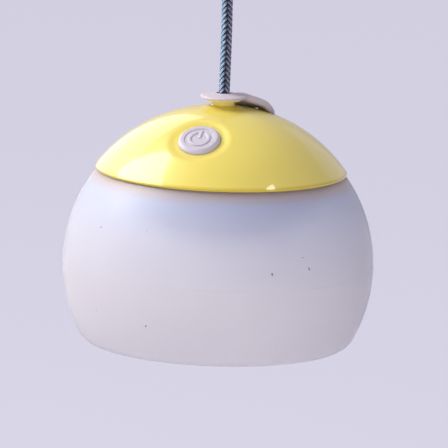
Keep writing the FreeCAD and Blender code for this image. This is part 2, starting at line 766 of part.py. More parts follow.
STOPPER_TOP = "seat_level - 1.1"
knot("Stopper", "cord_stopper_knot", f"{STOPPER_TOP} - 3.5", "3.5", "4.6")
knot("Loop_knot", "loop_knot", "knot_centre", "knot_half_height", "knot_radius")

# the cord leaves the stopper, climbs through the neck and swings a little on its way up
knot_level = number("knot_centre")
finish_shape(tube([
    (0, 0, number(STOPPER_TOP) - 1.5),
    (0.36, 0.11, 106),
    (0, 0, knot_level - 4),
], cord, "cord_main"), "cord_main")

# the loop is most of an octagon, closed at the knot by two longer legs
loop_radius = number("loop_radius")
loop_centre = number("hang_height") + cord / 2 - loop_radius
corner_radius = loop_radius / math.cos(math.radians(22.5))
loop_points = [(corner_radius * math.cos(math.radians(angle)), 0,
                loop_centre + corner_radius * math.sin(math.radians(angle)))
               for angle in (-22.5, 22.5, 67.5, 112.5, 157.5, 202.5)]
knot_exit = knot_level + 3.5
finish_shape(tube([(2.4, 0, knot_exit)] + loop_points + [(-2.4, 0, knot_exit)],
                  cord, "cord_loop"), "cord_loop")

finish_shape(tube([
    (-3.5, -1.0, knot_level + 0.5),
    (-9, -1.5, knot_level + 0.6),
    (-14.5, -1.0, knot_level - 2.2),
], cord, "cord_tail"), "cord_tail")

# ---------------------------------------------------------------- check and write

doc.recompute()
for thing in doc.Objects:
    faults = {"Invalid", "Error"} & set(thing.State)
    if faults:
        raise RuntimeError(f"{thing.Name} is {faults}: {thing.getStatusString()}")
os.makedirs("parts", exist_ok=True)
for thing in sub_parts:
    shape = thing.Shape
    if shape.isNull() or not shape.isValid():
        raise RuntimeError(f"{thing.Label} has no valid shape")
    print(thing.Label, "solids", len(shape.Solids), "volume", round(shape.Volume, 2))
    shape.exportStep(f"parts/{thing.Label}.step")
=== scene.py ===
import math

import bmesh
import bpy
import numpy as np
from mathutils import Matrix, Vector


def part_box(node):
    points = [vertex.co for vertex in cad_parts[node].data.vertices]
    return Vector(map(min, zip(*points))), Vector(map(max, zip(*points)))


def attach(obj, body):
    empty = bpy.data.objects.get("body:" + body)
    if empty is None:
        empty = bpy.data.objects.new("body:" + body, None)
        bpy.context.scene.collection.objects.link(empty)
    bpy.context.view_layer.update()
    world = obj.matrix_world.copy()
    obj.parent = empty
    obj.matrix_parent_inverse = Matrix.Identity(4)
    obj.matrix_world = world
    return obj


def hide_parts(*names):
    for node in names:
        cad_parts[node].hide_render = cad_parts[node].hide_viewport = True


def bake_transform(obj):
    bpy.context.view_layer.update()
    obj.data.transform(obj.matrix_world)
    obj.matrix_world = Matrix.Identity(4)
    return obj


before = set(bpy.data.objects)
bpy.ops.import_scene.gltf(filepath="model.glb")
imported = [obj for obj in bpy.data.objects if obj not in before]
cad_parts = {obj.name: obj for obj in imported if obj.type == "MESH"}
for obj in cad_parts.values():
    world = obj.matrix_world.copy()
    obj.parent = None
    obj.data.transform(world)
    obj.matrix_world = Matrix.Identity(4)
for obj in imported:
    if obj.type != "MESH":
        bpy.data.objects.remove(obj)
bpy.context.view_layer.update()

# A hanging lantern: frosted squashed globe, glossy dome, rubber port cover and braided cord.
# Sizes are in millimetres, and heights are above the flat foot of the globe. metres()
# turns them into the frame's metres, whose origin is the top of the hanging loop.

MM = 0.001
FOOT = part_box("shade")[0].z
GLOBE_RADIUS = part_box("shade")[1].x / MM
GLOBE_HEIGHT = 28.0
DOME_RADIUS = 53.7
DOME_CENTRE = 29.2


def metres(x, y, z):
    """A point in the row frame from millimetres and a height above the foot."""
    return Vector((x * MM, y * MM, FOOT + z * MM))


# ---------------------------------------------------------------- mesh helpers

def piece(name, points, faces, body):
    """A smooth-shaded mesh object that rides on a CAD body."""
    mesh = bpy.data.meshes.new(name)
    mesh.from_pydata([tuple(point) for point in points], [], faces)
    mesh.validate()
    mesh.shade_smooth()
    thing = bpy.data.objects.new(name, mesh)
    bpy.context.scene.collection.objects.link(thing)
    if body:
        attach(thing, body)
    return thing


def rounded(outline, bead=6):
    """Replaces each corner (r, z, radius) of an open outline by an arc of that radius."""
    path = []
    for index, corner in enumerate(outline):
        here = Vector(corner[:2])
        radius = corner[2] if len(corner) > 2 else 0
        if not radius or index in (0, len(outline) - 1):
            path.append(here)
            continue
        back = Vector(outline[index - 1][:2]) - here
        ahead = Vector(outline[index + 1][:2]) - here
        half = back.angle(ahead) / 2
        reach = min(radius / math.tan(half), 0.48 * back.length, 0.48 * ahead.length)
        start, end = here + back.normalized() * reach, here + ahead.normalized() * reach
        for step in range(bead + 1):
            t = step / bead
            path.append(start * (1 - t) ** 2 + here * (2 * t * (1 - t)) + end * t ** 2)
    return path


def arc(centre_r, centre_z, radius, first, last, count):
    """Points (r, z) on a circle; angles in degrees from the +r direction."""
    angles = np.radians(np.linspace(first, last, count))
    return [(centre_r + radius * math.cos(a), centre_z + radius * math.sin(a)) for a in angles]


def angle_on(centre_r, centre_z, r, z):
    """Angle in degrees of a point (r, z), seen from a circle's centre."""
    return math.degrees(math.atan2(z - centre_z, r - centre_r))


def lathe_mesh(outline, azimuths):
    """Points and faces of an outline (r, z) turned about +Z; r of 0 makes one pole."""
    points, rings, faces = [], [], []
    for r, z in outline:
        if r < 1e-6:
            rings.append([len(points)])
            points.append(Vector((0, 0, z)))
            continue
        rings.append(list(range(len(points), len(points) + len(azimuths))))
        points += [Vector((r * math.cos(a), r * math.sin(a), z)) for a in azimuths]
    count = len(azimuths)
    for low, high in zip(rings, rings[1:]):
        for i in range(count):
            j = (i + 1) % count
            if len(low) == 1 and len(high) == 1:
                continue
            if len(low) == 1:
                faces.append((low[0], high[j], high[i]))
            elif len(high) == 1:
                faces.append((low[i], low[j], high[0]))
            else:
                faces.append((low[i], low[j], high[j], high[i]))
    return points, faces, rings


def tube_faces(first, rows, count):
    """Faces of a tube of rings of count points each, with both ends closed."""
    faces = []
    for row in range(rows - 1):
        for k in range(count):
            a, b = first + row * count + k, first + row * count + (k + 1) % count
            faces.append((a, b, b + count, a + count))
    last = first + (rows - 1) * count
    return faces + [tuple(range(first, first + count))[::-1], tuple(range(last, last + count))]


def even(count):
    """Azimuths that divide the circle evenly."""
    return [2 * math.pi * i / count for i in range(count)]


def closed_lathe(outline, azimuths):
    """A turned solid of a closed outline that doesn't touch the axis."""
    points, faces, rings = lathe_mesh(outline, azimuths)
    count = len(azimuths)
    for i in range(count):
        j = (i + 1) % count
        faces.append((rings[-1][i], rings[-1][j], rings[0][j], rings[0][i]))
    return points, faces


def outwards(thing):
    """Makes every face of a closed mesh look outwards."""
    work = bmesh.new()
    work.from_mesh(thing.data)
    bmesh.ops.recalc_face_normals(work, faces=work.faces)
    work.to_mesh(thing.data)
    work.free()


def apply_modifiers(thing):
    """Bakes an object's modifiers into its mesh."""
    graph = bpy.context.evaluated_depsgraph_get()
    mesh = bpy.data.meshes.new_from_object(thing.evaluated_get(graph))
    thing.modifiers.clear()
    thing.data = mesh


def cut_away(thing, tools):
    """Boolean difference with helper solids, which are then removed."""
    for tool in tools:
        modifier = thing.modifiers.new("cut", "BOOLEAN")
        modifier.operation = "DIFFERENCE"
        modifier.solver = "EXACT"
        modifier.object = tool
    bpy.context.view_layer.update()
    apply_modifiers(thing)
    for tool in tools:
        bpy.data.objects.remove(tool)


def tool_solid(name, points, faces):
    """A helper solid in the row frame that is never shown."""
    thing = piece(name, points, faces, None)
    outwards(thing)
    return thing


# ---------------------------------------------------------------- materials

def linear(red, green, blue):
    """A Blender colour from 0-255 display values."""
    def channel(value):
        value /= 255
        return value / 12.92 if value <= 0.04045 else ((value + 0.055) / 1.055) ** 2.4
    return (channel(red), channel(green), channel(blue), 1)


# a Mix node's sockets for colours
MIX_SHARE, MIX_FIRST, MIX_SECOND, MIX_RESULT = 0, 6, 7, 2


class Shader:
    """A small helper for building a Principled material with nodes."""

    def __init__(self, name, **values):
        self.material = bpy.data.materials.new(name)
        self.material.use_nodes = True
        self.tree = self.material.node_tree
        self.main = self.tree.nodes["Principled BSDF"]
        for socket, value in values.items():
            self.main.inputs[socket.replace("_", " ")].default_value = value

    def node(self, kind, **settings):
        made = self.tree.nodes.new(kind)
        for name, value in settings.items():
            if name in made.inputs:
                made.inputs[name].default_value = value
            else:
                setattr(made, name, value)
        return made

    def link(self, source, target):
        self.tree.links.new(source, target)

    def noise(self, scale, detail):
        """Noise in object coordinates, scale in cells per metre."""
        place = self.node("ShaderNodeTexCoord")
        texture = self.node("ShaderNodeTexNoise", Scale=scale, Detail=detail, Roughness=0.5)
        self.link(place.outputs["Object"], texture.inputs["Vector"])
        return texture.outputs["Fac"]

    def spread(self, value, low, high, start=0.3, stop=0.7):
        """Maps a value from start...stop to low...high; noise lies mostly in 0.3...0.7."""
        mapped = self.node("ShaderNodeMapRange")
        for name, number in (("From Min", start), ("From Max", stop), ("To Min", low), ("To Max", high)):
            mapped.inputs[name].default_value = number
        self.link(value, mapped.inputs["Value"])
        return mapped.outputs["Result"]

    def height(self, low, high):
        """0 at one height above the foot and 1 at another, both in millimetres."""
        place = self.node("ShaderNodeTexCoord")
        split = self.node("ShaderNodeSeparateXYZ")
        self.link(place.outputs["Object"], split.inputs[0])
        return self.spread(split.outputs["Z"], 0, 1, FOOT + low * MM, FOOT + high * MM)

    def blend_colours(self, share, first, second, blend_type="MIX"):
        """Blends two colours; each input is a value or another node's output."""
        mix = self.node("ShaderNodeMix", data_type="RGBA", blend_type=blend_type)
        for socket, source in zip((MIX_SHARE, MIX_FIRST, MIX_SECOND), (share, first, second)):
            if isinstance(source, bpy.types.NodeSocket):
                self.link(source, mix.inputs[socket])
            else:
                mix.inputs[socket].default_value = source
        return mix.outputs[MIX_RESULT]

    def bump(self, value, distance):
        """Relief of a depth in metres."""
        bump = self.node("ShaderNodeBump", Strength=1.0, Distance=distance)
        self.link(value, bump.inputs["Height"])
        self.link(bump.outputs["Normal"], self.main.inputs["Normal"])


def plain_plastic(name, colour, second, roughness, grain=2500, depth=0.00001, **values):
    """Moulded plastic: a fine grain, a slight drift of colour and uneven gloss."""
    made = Shader(name, **values)
    drift = made.spread(made.noise(60, 2), 0, 1)
    made.link(made.blend_colours(drift, colour, second), made.main.inputs["Base Color"])
    gloss = made.spread(made.noise(400, 4), roughness * 0.85, roughness * 1.15)
    made.link(gloss, made.main.inputs["Roughness"])
    made.bump(made.noise(grain, 2), depth)
    return made.material


def frosted_silicone():
    """Milky silicone, with painted shade by height: a warm band under the cap, where the yellow skirt
    shows through, and a cooler shade lower down, in front of the works inside.
    """
    made = Shader("frosted_silicone", Roughness=0.42, IOR=1.4, Transmission_Weight=0.64,
                  Specular_IOR_Level=0.2)
    # painted shade by height: warm and darker under the cap, cooler in front of the works inside
    painted_shade_ramp = made.node("ShaderNodeValToRGB")
    made.link(made.height(24, 61), painted_shade_ramp.inputs["Fac"])
    stops = [(0.0, (255, 252, 252)), (0.5, (250, 250, 255)), (0.85, (236, 241, 255)),
             (0.93, (240, 226, 220)), (1.0, (196, 168, 128))]
    while len(painted_shade_ramp.color_ramp.elements) < len(stops):
        painted_shade_ramp.color_ramp.elements.new(0.5)
    for element, (position, colour) in zip(painted_shade_ramp.color_ramp.elements, stops):
        element.position = position
        element.color = linear(*colour)
    drift = made.spread(made.noise(35, 3), 0, 1)
    drift = made.blend_colours(drift, (1, 1, 1, 1), (0.96, 0.955, 0.97, 1))
    tint_with_painted_shade = made.blend_colours(1.0, painted_shade_ramp.outputs["Color"], drift, "MULTIPLY")
    # only the rare highest peaks of the noise become specks of dust
    specks = made.spread(made.noise(700, 0), 0, 1, 0.893, 0.905)
    made.link(made.blend_colours(specks, tint_with_painted_shade, linear(90, 84, 86)), made.main.inputs["Base Color"])
    made.bump(made.noise(1800, 3), 0.00002)
    return made.material


def dome_plastic():
    """Glossy lemon plastic, with painted shade, a darker and deeper yellow, on the edge of the rim."""
    made = Shader("yellow_gloss", IOR=1.5, Coat_Weight=0.8, Coat_Roughness=0.06)
    drift = made.spread(made.noise(30, 2), 0, 1)
    lemon = made.blend_colours(drift, linear(231, 212, 98), linear(227, 207, 90))
    # painted shade: the rim's edge, whose face turns sideways, is coloured darker and deeper
    clear_of_rim_shade = made.height(61.0, 61.9)
    made.link(made.blend_colours(clear_of_rim_shade, linear(206, 182, 44), lemon), made.main.inputs["Base Color"])
    made.link(made.spread(made.noise(300, 5), 0.34, 0.4), made.main.inputs["Roughness"])
    made.bump(made.noise(500, 1), 0.0000012)
    return made.material


def cover_rubber():
    return plain_plastic("grey_rubber", linear(200, 188, 194), linear(190, 178, 184), 0.55,
                         grain=3000, depth=0.000015, Sheen_Weight=0.2, Sheen_Roughness=0.5)


def button_rubber():
    return plain_plastic("grey_button", linear(196, 189, 197), linear(188, 181, 190), 0.42,
                         grain=3500, depth=0.00001, Sheen_Weight=0.1, Sheen_Roughness=0.5)


def yarn(name, low, high, painted_glint):
    """Twisted yarn with fine ridges: painted shade where a strand dives under, painted light where it
    stands out, and painted glints on top.
    """
    made = Shader(name, Roughness=0.5, Sheen_Weight=0.3, Sheen_Roughness=0.4)
    lift = made.node("ShaderNodeAttribute", attribute_name="lift")
    place = made.node("ShaderNodeTexCoord")
    mapping = made.node("ShaderNodeMapping")
    mapping.inputs["Scale"].default_value = (1, 7, 1)
    mapping.inputs["Rotation"].default_value = (0, 0, math.radians(4))
    made.link(place.outputs["UV"], mapping.inputs["Vector"])
    ridges = made.node("ShaderNodeTexWave", Scale=0.5, Distortion=1.2, Detail=2.0)
    ridges.bands_direction = "Y"
    made.link(mapping.outputs["Vector"], ridges.inputs["Vector"])
    # painted shade and light: lift picks the low colour under and the high colour on top
    raised = made.spread(lift.outputs["Fac"], 0, 1, 0.55, 0.95)
    # painted highlights: noise turns raised parts towards the near-white glint colour
    painted_glint_share = made.spread(made.noise(2200, 3), 0, 0.85, 0.5, 0.68)
    colour = made.blend_colours(painted_glint_share, made.blend_colours(raised, low, high),
                                made.blend_colours(raised, low, painted_glint))
    made.link(colour, made.main.inputs["Base Color"])
    made.bump(ridges.outputs["Fac"], 0.00004)
    return made.material


# ---------------------------------------------------------------- frosted shade

def make_shade():
    """The soft globe: one closed wall with a rolled lip that the cap clamps."""
    lower, upper, wall = 52.6, 52.5, 1.7
    low_r, up_r = GLOBE_RADIUS - lower, GLOBE_RADIUS - upper
    corner, lip_level = 7.0, 60.9
    # the foot's corner is an arc tangent to the flat foot and to the lower side
    corner_r = low_r + math.sqrt((lower - corner) ** 2 - (GLOBE_HEIGHT - corner) ** 2)
    meet = angle_on(low_r, GLOBE_HEIGHT, corner_r, corner)
    inner_corner = corner - wall
    outside = [(0, 0), (corner_r * 0.5, 0)]
    outside += arc(corner_r, corner, corner, -90, meet, 14)
    outside += arc(low_r, GLOBE_HEIGHT, lower, meet, -0.3, 40)[1:]
    # a parting line runs round the widest place
    outside += [(GLOBE_RADIUS + 0.02, GLOBE_HEIGHT - 0.16), (GLOBE_RADIUS + 0.14, GLOBE_HEIGHT),
                (GLOBE_RADIUS + 0.02, GLOBE_HEIGHT + 0.16)]
    lip_r = up_r + math.sqrt(upper ** 2 - (lip_level - GLOBE_HEIGHT) ** 2)
    top = angle_on(up_r, GLOBE_HEIGHT, lip_r, lip_level)
    outside += arc(up_r, GLOBE_HEIGHT, upper, 0.3, top, 44)
    lip = [(41.1, 62.3), (40.8, 62.4), (37.6, 62.4), (37.4, 62.2), (37.4, 61.1), (37.6, 60.9)]
    inner_top = angle_on(up_r, GLOBE_HEIGHT,
                         up_r + math.sqrt((upper - wall) ** 2 - (lip_level - GLOBE_HEIGHT) ** 2),
                         lip_level)
    inside = arc(up_r, GLOBE_HEIGHT, upper - wall, inner_top, 0, 36)
    inside += arc(low_r, GLOBE_HEIGHT, lower - wall, 0, meet, 30)[1:]
    inside += arc(corner_r, corner, inner_corner, meet, -90, 10)[1:]
    inside += [(corner_r * 0.5, wall), (0, wall)]
    points, faces, _ = lathe_mesh(outside + lip + inside, even(224))
    points = [metres(*point) for point in points]
    thing = piece("frosted_shade", points, faces, "lantern")
    outwards(thing)
    thing.data.materials.append(frosted_silicone())
    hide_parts("shade")


# ---------------------------------------------------------------- glossy dome

BUTTON_TILT = math.radians(30.2)
BUTTON_OUT = Vector((0, -math.sin(BUTTON_TILT), math.cos(BUTTON_TILT)))
BUTTON_UP = Vector((0, math.cos(BUTTON_TILT), math.sin(BUTTON_TILT)))
BUTTON_SIDE = Vector((1, 0, 0))
DOME_MIDDLE = Vector((0, 0, DOME_CENTRE))


def on_button(x, y, z):
    """Millimetres in the button's own frame, z outwards from the dome's surface."""
    spot = DOME_MIDDLE + BUTTON_OUT * (DOME_RADIUS + z) + BUTTON_SIDE * x + BUTTON_UP * y
    return metres(*spot)


def smooth_step(value, low, high):
    """Rises smoothly from 0 at low to 1 at high."""
    t = min(max((value - low) / (high - low), 0), 1)
    return t * t * (3 - 2 * t)


def dish(point):
    """Presses the shallow dish round the button into the dome's outer face."""
    depth, flat, edge, near = 1.45, 8.5, 11.9, 30
    rel = point - DOME_MIDDLE
    along = rel.dot(BUTTON_OUT)
    if along < near:
        return point
    away = (rel - BUTTON_OUT * along).length
    weight = 1 - smooth_step(away, flat, edge)
    return point + BUTTON_OUT * (weight * (-depth - (along - DOME_RADIUS)))


def make_cap():
    """The dome with its neck, dished button seat and port slot, as one hollow moulding."""
    wall, ceiling = 2.2, 80.0
    inner = DOME_RADIUS - wall
    dome_start = math.degrees(math.acos(7.6 / DOME_RADIUS))
    rim_r, rim_z = 43.27, 61.0
    rim_angle = angle_on(0, DOME_CENTRE, rim_r, rim_z)
    neck = [(2.6, 85.5), (2.6, 86.7, 0.15), (3.7, 86.7, 0.15), (3.7, 86.1, 0.1), (3.3, 86.1, 0.1),
            (3.3, 85.6, 0.1), (6.2, 85.6, 0.2), (6.2, 84.9, 0.2), (4.0, 84.9, 0.35), (4.0, 83.15, 0.6),
            (5.4, 83.0, 0.8), (7.6, DOME_CENTRE + DOME_RADIUS * math.sin(math.radians(dome_start)))]
    outline = [tuple(point) for point in rounded(neck)][:-1]
    outline += arc(0, DOME_CENTRE, DOME_RADIUS, dome_start, rim_angle, 110)
    rim = [(rim_r, rim_z + 0.02), (rim_r, rim_z - 0.15, 0.1), (43.15, 60.3, 0.15), (42.5, 60.3, 0.1),
           (42.5, 61.0, 0.2), (41.15, 62.4, 0.05), (39.4, 62.4)]
    outline += [tuple(point) for point in rounded(rim)][1:-1]
    # the hollow is a dome from the top of the skirt to the neck's flat ceiling
    rise = 33.2
    inner_start = angle_on(0, DOME_CENTRE, math.sqrt(inner ** 2 - rise ** 2), DOME_CENTRE + rise)
    outline += arc(0, DOME_CENTRE, inner, inner_start, 80.5, 40)
    outline += [(2.6, ceiling)]
    # finer steps in front, where the dish is
    front, dish_edge = -math.pi / 2, 27
    azimuths = [front + math.radians(a) for a in np.concatenate([
        np.arange(-dish_edge, dish_edge, 0.6), np.arange(dish_edge, 360 - dish_edge, 1.5)])]
    points, faces = closed_lathe(outline, azimuths)
    inner_limit = DOME_RADIUS - 1.0     # only the outer face is dished
    shaped = [dish(p) if (p - DOME_MIDDLE).length > inner_limit else p for p in points]
    thing = piece("dome_cap", [metres(*p) for p in shaped], faces, None)
    outwards(thing)
    hole = button_cylinder("button_hole_tool", 7.33, -6, 4, 128)
    cut_away(thing, [hole, port_tool()])
    thing.data.shade_smooth()
    thing.data.set_sharp_from_angle(angle=math.radians(32))
    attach(thing, "lantern")
    thing.data.materials.clear()
    thing.data.materials.append(dome_plastic())
    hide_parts("top_cap")


def button_cylinder(name, radius, low, high, count):
    """A cylinder about the button's axis."""
    points, faces, rings = lathe_mesh([(0, low), (radius, low), (radius, high), (0, high)], even(count))
    return tool_solid(name, [on_button(*p) for p in points], faces)


PORT_AZIMUTH = math.radians(45)
PORT_OUT = Vector((math.cos(PORT_AZIMUTH), math.sin(PORT_AZIMUTH), 0))
PORT_SIDE = Vector((-math.sin(PORT_AZIMUTH), math.cos(PORT_AZIMUTH), 0))


def at_port(reach, side, z):
    """Millimetres outwards from the axis towards the port, sideways, and up."""
    spot = PORT_OUT * reach + PORT_SIDE * side
    return metres(spot.x, spot.y, z)


def port_tool():
    """The slot that the cover's tongue closes."""
    half_thick, half_long, corner, reach = 1.75, 4.6, 1.0, 16.8
    ring = []
    for across, along, first in ((1, 1, 0), (-1, 1, 90), (-1, -1, 180), (1, -1, 270)):
        for angle in np.radians(np.linspace(first, first + 90, 7)):
            ring.append((across * (half_thick - corner) + corner * math.cos(angle),
                         along * (half_long - corner) + corner * math.sin(angle)))
    points = [at_port(reach + a, b, z) for z in (76, 84) for a, b in ring]
    return tool_solid("port_tool", points, tube_faces(0, 2, len(ring)))


# ---------------------------------------------------------------- power button

def raised_strip(path, half_width, base, top):
    """A low rounded rib along a flat path, in the button's frame, with round ends."""
    path = [Vector((x, y, 0)) for x, y in path]
    section = [(-1.0, 0.0), (-1.0, 0.55), (-0.86, 0.86), (-0.55, 1.0), (0.0, 1.06), (0.55, 1.0),
               (0.86, 0.86), (1.0, 0.55), (1.0, 0.0)]
    stations = []
    for index, spot in enumerate(path):
        ahead = path[min(index + 1, len(path) - 1)] - path[max(index - 1, 0)]
        stations.append((spot, ahead.normalized()))
    rows = []
    for (spot, ahead), sign in ((stations[0], -1), (stations[-1], 1)):
        caps = []
        for angle in (90, 75, 55, 35, 15):
            lean = math.radians(angle)
            caps.append((spot + ahead * (sign * half_width * math.sin(lean)), ahead,
                         max(math.cos(lean), 0.02)))
        rows.append(caps)
    line = rows[0] + [(spot, ahead, 1.0) for spot, ahead in stations] + rows[1][::-1]
    points, faces = [], []
    for spot, ahead, share in line:
        side = Vector((ahead.y, -ahead.x, 0))
        for across, up in section:
            where = spot + side * (across * half_width * share)
            points.append(Vector((where.x, where.y, base + (top - base) * up * (0.35 + 0.65 * share))))
    width = len(section)
    for row in range(len(line) - 1):
        for k in range(width - 1):
            a = row * width + k
            faces.append((a, a + 1, a + 1 + width, a + width))
    return points, faces


def make_button():
    """The push button with its bevelled rim, sunk face and raised switch sign."""
    top, face = 0.1, -0.22
    outline = rounded([
        (0, face), (4.7, face, 0.0), (5.0, face, 0.12), (5.12, top, 0.12), (6.35, top + 0.02, 0.5),
        (7.25, top - 0.75, 0.35), (7.25, -3.45, 0.1), (8.6, -3.45, 0.1), (8.6, -4.4, 0.1), (0, -4.4)], 7)
    outline = [tuple(point) for point in outline]
    points, faces, _ = lathe_mesh(outline, even(128))
    ring = [(3.32 * math.cos(a), 3.32 * math.sin(a)) for a in np.radians(np.linspace(123, 417, 60))]
    bar = [(0, y) for y in np.linspace(0.75, 3.75, 12)]
    for path, half_width in ((ring, 0.62), (bar, 0.55)):
        more, rib_faces = raised_strip(path, half_width, face - 0.02, top + 0.02)
        start = len(points)
        points += more
        faces += [tuple(start + i for i in face_points) for face_points in rib_faces]
    thing = piece("push_button", [on_button(*p) for p in points], faces, "power_button")
    outwards(thing)
    thing.data.set_sharp_from_angle(angle=math.radians(60))
    thing.data.materials.append(button_rubber())
    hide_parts("power_button")


# ---------------------------------------------------------------- rubber port cover

def make_port_cover():
    """The ring round the neck and its strap to the port, one soft moulding."""
    ring_outline = rounded([
        (2.35, 86.85), (2.35, 87.3, 0.15), (2.9, 87.45, 0.3), (4.6, 87.05, 1.2), (7.5, 86.65, 0.5),
        (8.1, 86.3, 0.3), (8.1, 85.8, 0.2), (7.7, 85.65, 0.2), (3.9, 85.65, 0.1), (3.9, 86.8, 0.1),
        (2.4, 86.8)], 4)
    points, faces = closed_lathe([tuple(p) for p in ring_outline], even(96))
    ring = tool_solid("cover_ring_form", [metres(*p) for p in points], faces)
    # stations along the strap: outwards, height, half thickness, half width, rise of the far side,
    # and how far that side droops on to the dome
    spine = [(3.4, 86.6, 0.5, 3.0, -0.05, 0.8), (4.6, 86.6, 0.8, 3.8, -0.1, 1.8),
             (6.5, 86.0, 1.1, 4.1, -0.13, 2.3), (8.65, 85.0, 1.3, 4.15, -0.14, 1.65),
             (11.0, 84.3, 1.3, 4.15, -0.12, 1.5), (13.0, 83.65, 1.3, 4.15, -0.08, 1.65),
             (14.4, 83.15, 1.3, 4.15, -0.04, 1.5), (15.7, 82.15, 1.3, 4.15, 0, 0.5),
             (16.7, 81.0, 1.25, 4.15, 0, 0), (17.15, 79.95, 1.15, 4.1, 0, 0),
             (17.0, 79.2, 0.9, 3.95, 0, 0), (16.7, 78.8, 0.7, 3.8, 0, 0)]
    fine = smooth_rows(spine, 5)
    section = []
    for angle in np.radians(np.arange(0, 360, 15)):
        c, s = math.cos(angle), math.sin(angle)
        section.append((math.copysign(abs(c) ** 0.5, c), math.copysign(abs(s) ** 0.28, s)))
    points = []
    for index, (reach, z, thick, wide, rise, droop) in enumerate(fine):
        before, after = fine[max(index - 1, 0)], fine[min(index + 1, len(fine) - 1)]
        ahead = Vector((after[0] - before[0], after[1] - before[1])).normalized()
        up = Vector((-ahead.y, ahead.x))
        for across, along in section:
            height = z + up.y * across * thick + rise * along * wide - droop * max(along, 0) ** 1.5
            points.append(at_port(reach + up.x * across * thick, along * wide, height))
    thing = tool_solid("port_cover", points, tube_faces(0, len(fine), len(section)))
    join = thing.modifiers.new("join", "BOOLEAN")
    join.operation = "UNION"
    join.solver = "EXACT"
    join.object = ring
    remesh = thing.modifiers.new("skin", "REMESH")
    remesh.mode = "VOXEL"
    remesh.voxel_size = 0.2 * MM
    relax = thing.modifiers.new("relax", "SMOOTH")
    relax.factor = 0.5
    relax.iterations = 5
    apply_modifiers(thing)
    bpy.data.objects.remove(ring)
    thing.data.shade_smooth()
    thing.data.materials.clear()
    thing.data.materials.append(cover_rubber())
    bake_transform(thing)
    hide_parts("port_cover_ring", "port_cover_strap")


def smooth_rows(rows, steps):
    """Catmull-Rom interpolation of rows of numbers."""
    data = np.array([rows[0]] + list(rows) + [rows[-1]], float)
    out = []
    for i in range(1, len(data) - 2):
        p0, p1, p2, p3 = data[i - 1:i + 3]
        for t in np.arange(steps) / steps:
            out.append(0.5 * (2 * p1 + (p2 - p0) * t + (2 * p0 - 5 * p1 + 4 * p2 - p3) * t * t
                              + (3 * p1 - p0 - 3 * p2 + p3) * t ** 3))
    out.append(data[-2])
    return out


# ---------------------------------------------------------------- braided cord

CORD = 4.2      # diameter
KNOT = 129.5    # height of the loop's knot

# each yarn: its painted shade colour, its painted light colour and its painted glint colour
CORD_MATERIALS = [
    yarn("cord_blue", linear(3, 14, 34), linear(134, 172, 206), linear(246, 254, 255)),
    yarn("cord_slate", linear(5, 12, 28), linear(106, 108, 138), linear(196, 198, 220)),
    # the core is near-black: painted shade in the gaps between strands
    yarn("cord_core", linear(8, 16, 32), linear(20, 30, 52), linear(30, 44, 70)),
]


def spline_points(name, route):
    """Points along the smooth spline whose control points are the route's."""
    curve = bpy.data.curves.new(name, "CURVE")
    curve.dimensions = "3D"
    curve.resolution_u = 24
    spline = curve.splines.new("NURBS")
    spline.points.add(len(route) - 1)
    for control, spot in zip(spline.points, route):
        control.co = (*metres(*spot), 1)
    spline.order_u = 3
    spline.use_endpoint_u = True
    holder = bpy.data.objects.new(name, curve)
    bpy.context.scene.collection.objects.link(holder)
    graph = bpy.context.evaluated_depsgraph_get()
    mesh = bpy.data.meshes.new_from_object(holder.evaluated_get(graph))
    spots = [Vector(vertex.co) for vertex in mesh.vertices]
    bpy.data.meshes.remove(mesh)
    bpy.data.objects.remove(holder)
    return spots


def resampled(spots, step):
    """Evenly spaced points and a turning frame along a line."""
    data = np.array([tuple(s) for s in spots])
    reach = np.concatenate([[0], np.cumsum(np.linalg.norm(np.diff(data, axis=0), axis=1))])
    count = max(int(reach[-1] / step), 2)
    places = np.linspace(0, reach[-1], count + 1)
    line = np.stack([np.interp(places, reach, data[:, k]) for k in range(3)], axis=1)
    ahead = np.gradient(line, axis=0)
    ahead /= np.linalg.norm(ahead, axis=1)[:, None]
    side = np.zeros_like(line)
    start = np.array((0.0, 1.0, 0.0)) if abs(ahead[0][1]) < 0.8 else np.array((1.0, 0.0, 0.0))
    current = start - ahead[0] * start.dot(ahead[0])
    for index in range(len(line)):
        current = current - ahead[index] * current.dot(ahead[index])
        current /= np.linalg.norm(current)
        side[index] = current
    return places, line, ahead, side


